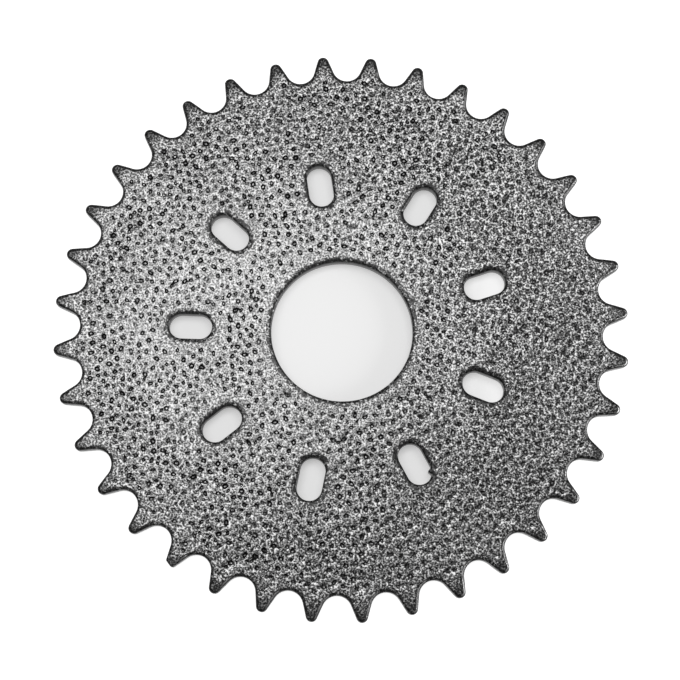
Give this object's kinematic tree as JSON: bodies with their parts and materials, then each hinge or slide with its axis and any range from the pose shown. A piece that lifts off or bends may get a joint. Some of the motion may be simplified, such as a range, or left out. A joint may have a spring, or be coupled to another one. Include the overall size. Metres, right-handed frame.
{
  "type": "chain sprocket",
  "caption": "Flat chain sprocket in hammered grey paint, with a plain round bore and a ring of short radial slots; takes roller chain and clamps to a wheel hub.",
  "frame": {"origin": "on the bore's axis, in the plane of the back face that the plate lies on", "axes": "+Z along the bore out of the front face, +X through a tooth tip"},
  "size_m": [0.152, 0.152, 0.004],
  "materials": {
    "hammered_paint": "hammered silver grey powder coat, dimpled, half gloss"
  },
  "bodies": {
    "root": {"sprocket": "hammered_paint"}
  },
  "joints": []
}
